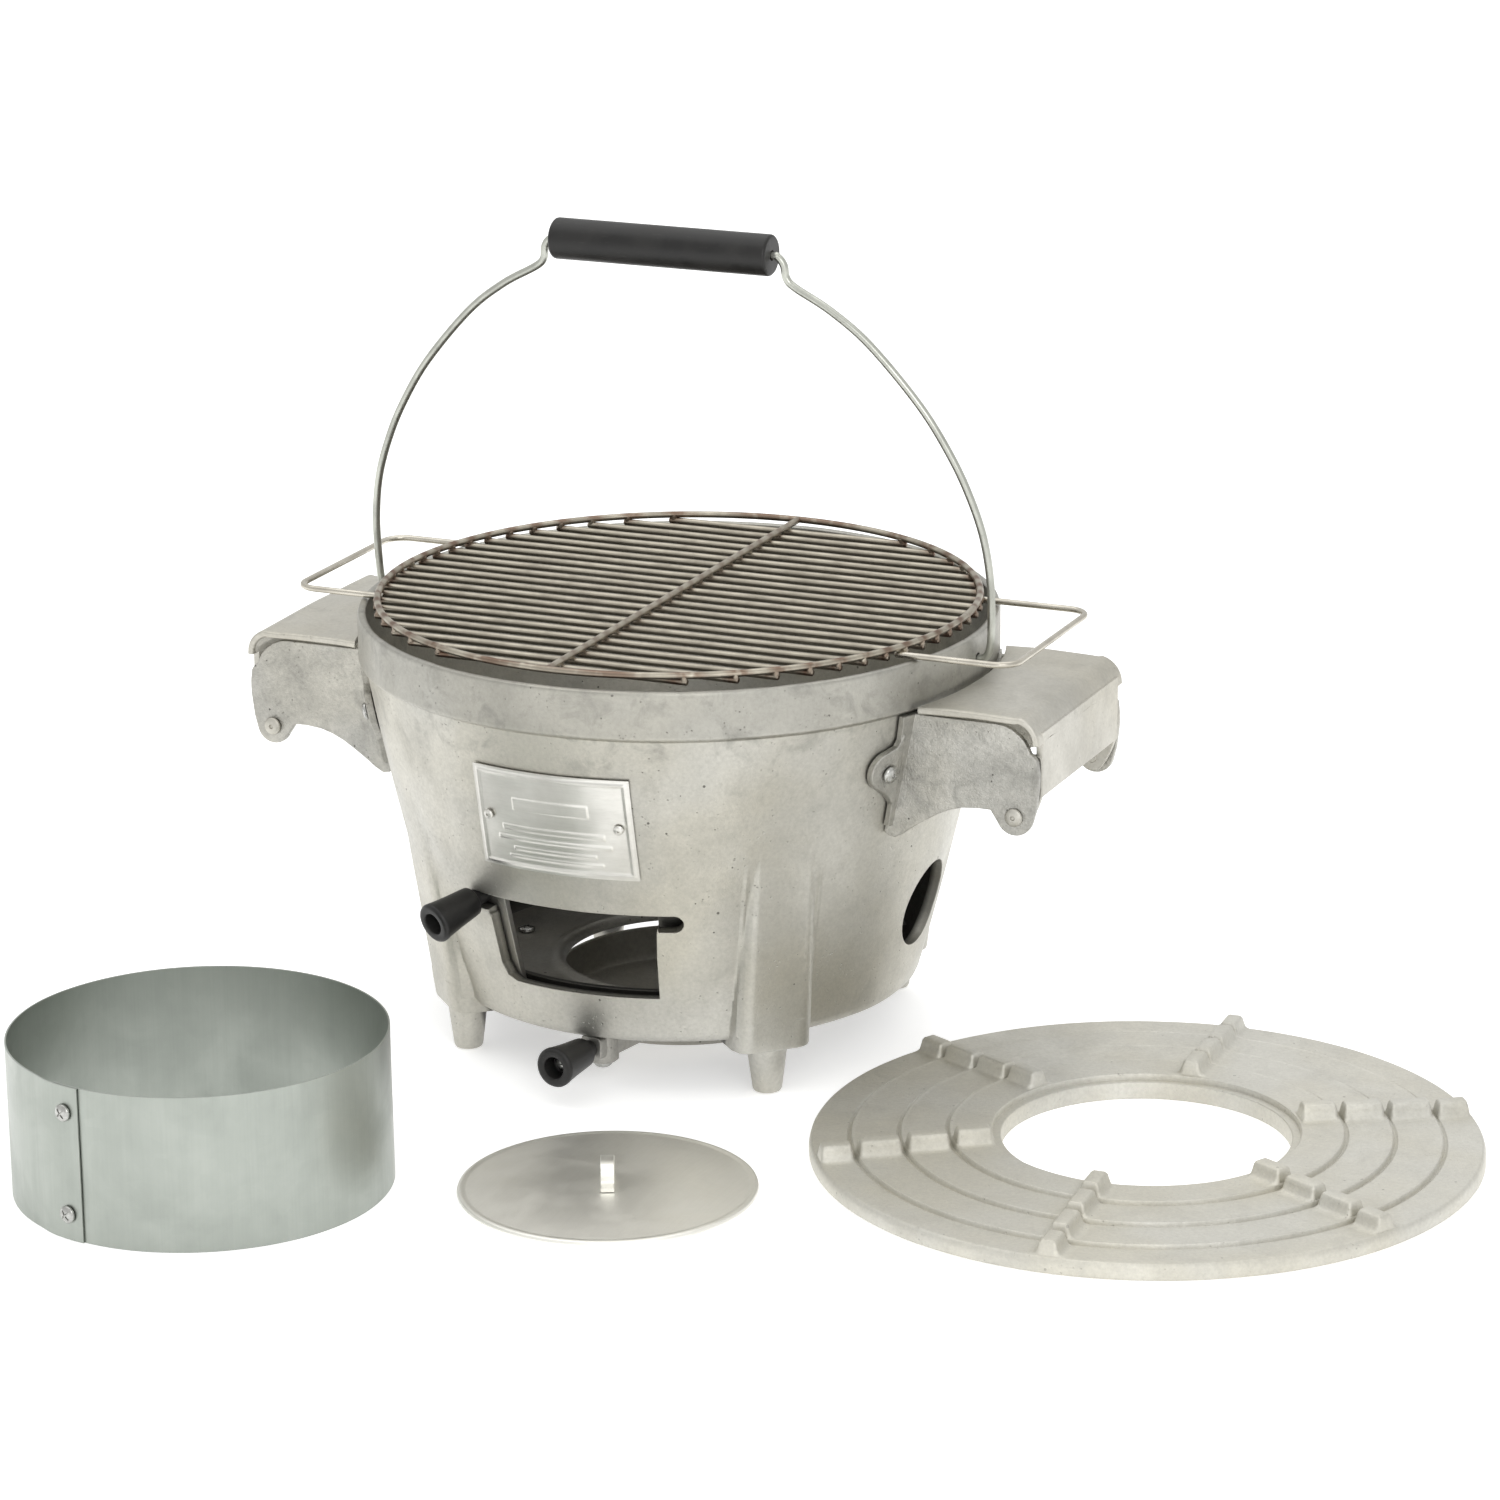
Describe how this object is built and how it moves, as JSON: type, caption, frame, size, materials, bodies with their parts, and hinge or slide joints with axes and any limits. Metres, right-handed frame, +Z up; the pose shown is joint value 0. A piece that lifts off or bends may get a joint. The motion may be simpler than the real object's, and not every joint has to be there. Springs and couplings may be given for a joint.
{
  "type": "charcoal grill",
  "caption": "Round cast charcoal grill on peg feet with a draft shutter, swinging ash pan, wire cooking grate, bail handle, lidded side brackets and loose rings and lid.",
  "frame": {"origin": "middle of the whole set's footprint, on the surface that it stands on", "axes": "+Z up; the grill's draft door faces -Y; the bail's pivots and the side brackets lie along X"},
  "size_m": [0.6564, 0.5447, 0.4118],
  "materials": {
    "cast_aluminium": "satin sand-cast aluminium with fine pits and smudges",
    "lid_aluminium": "smoother satin cast aluminium",
    "pin_aluminium": "plain aluminium rivet",
    "brushed_aluminium": "brushed and rolled aluminium sheet",
    "stainless_wire": "drawn stainless wire with brown heat tint near the welds",
    "galvanised_wire": "dull galvanised wire",
    "galvanised_sheet": "greenish grey galvanised sheet with faint upright streaks",
    "zinc_screw": "bright zinc plate",
    "grate_iron": "raw cast iron",
    "black_phenolic": "black satin phenolic"
  },
  "bodies": {
    "pot": {"fire_pot": "cast_aluminium", "ash_floor": "cast_aluminium", "damper_pivot_bolt": "zinc_screw", "name_plate": "brushed_aluminium", "name_plate_rivet_left": "brushed_aluminium", "name_plate_rivet_right": "brushed_aluminium", "handle_bracket_left": "cast_aluminium", "handle_pin_left_front": "pin_aluminium", "bracket_screw_left_front": "zinc_screw", "handle_pin_left_back": "pin_aluminium", "bracket_screw_left_back": "zinc_screw", "handle_bracket_right": "cast_aluminium", "handle_pin_right_front": "pin_aluminium", "bracket_screw_right_front": "zinc_screw", "handle_pin_right_back": "pin_aluminium", "bracket_screw_right_back": "zinc_screw", "ash_floor_screw_left": "zinc_screw", "ash_floor_screw_right": "zinc_screw"},
    "shutter": {"draft_shutter": "cast_aluminium", "shutter_knob": "black_phenolic", "shutter_knob_screw": "zinc_screw"},
    "ash_pan": {"ash_pan": "cast_aluminium", "damper_knob": "black_phenolic", "damper_knob_screw": "zinc_screw"},
    "charcoal_grate": {"charcoal_grate": "grate_iron"},
    "lid_left": {"handle_lid_left": "lid_aluminium"},
    "lid_right": {"handle_lid_right": "lid_aluminium"},
    "bail": {"bail_wire": "galvanised_wire"},
    "grip": {"bail_grip": "black_phenolic"},
    "cooking_grate": {"cooking_grate": "stainless_wire", "grate_loop_right": "stainless_wire", "grate_loop_left": "stainless_wire"},
    "charcoal_ring": {"charcoal_ring": "galvanised_sheet", "ring_screw_low": "zinc_screw", "ring_nut_low": "zinc_screw", "ring_screw_high": "zinc_screw", "ring_nut_high": "zinc_screw"},
    "snuffer_lid": {"snuffer_lid": "brushed_aluminium", "snuffer_lid_strap": "brushed_aluminium"},
    "pot_ring": {"pot_ring": "cast_aluminium"}
  },
  "joints": [
    {"name": "shutter_turn", "type": "hinge", "parent": "pot", "child": "shutter", "pos_m": [-0.11385, 0.11247, 0.078], "axis": [0, 0, 1], "range_deg": [0, 45.8]},
    {"name": "ash_pan_swing", "type": "hinge", "parent": "pot", "child": "ash_pan", "pos_m": [-0.11185, 0.01147, 0.02], "axis": [0, 0, 1], "range_deg": [-22, 22]},
    {"name": "charcoal_grate_lift", "type": "slide", "parent": "pot", "child": "charcoal_grate", "axis": [0, 0, 1], "range_m": [0, 0.06]},
    {"name": "lid_left_hinge", "type": "hinge", "parent": "pot", "child": "lid_left", "pos_m": [-0.31535, 0.11247, 0.1476], "axis": [0, -1, 0], "range_deg": [0, 100]},
    {"name": "lid_right_hinge", "type": "hinge", "parent": "pot", "child": "lid_right", "pos_m": [0.08765, 0.11247, 0.1476], "axis": [0, 1, 0], "range_deg": [0, 100]},
    {"name": "bail_swing", "type": "hinge", "parent": "pot", "child": "bail", "pos_m": [-0.11385, 0.11247, 0.207], "axis": [1, 0, 0], "range_deg": [-60, 56]},
    {"name": "grip_spin", "type": "hinge", "parent": "bail", "child": "grip", "pos_m": [-0.11385, 0.09989, 0.40159], "axis": [1, 0, 0], "continuous": true},
    {"name": "cooking_grate_lift", "type": "slide", "parent": "pot", "child": "cooking_grate", "axis": [0, 0, 1], "range_m": [0, 0.012]},
    {"name": "charcoal_ring_lift", "type": "slide", "parent": "pot", "child": "charcoal_ring", "axis": [0, 0, 1], "range_m": [0, 0.05]},
    {"name": "snuffer_lid_lift", "type": "slide", "parent": "pot", "child": "snuffer_lid", "axis": [0, 0, 1], "range_m": [0, 0.05]},
    {"name": "pot_ring_lift", "type": "slide", "parent": "pot", "child": "pot_ring", "axis": [0, 0, 1], "range_m": [0, 0.05]}
  ]
}
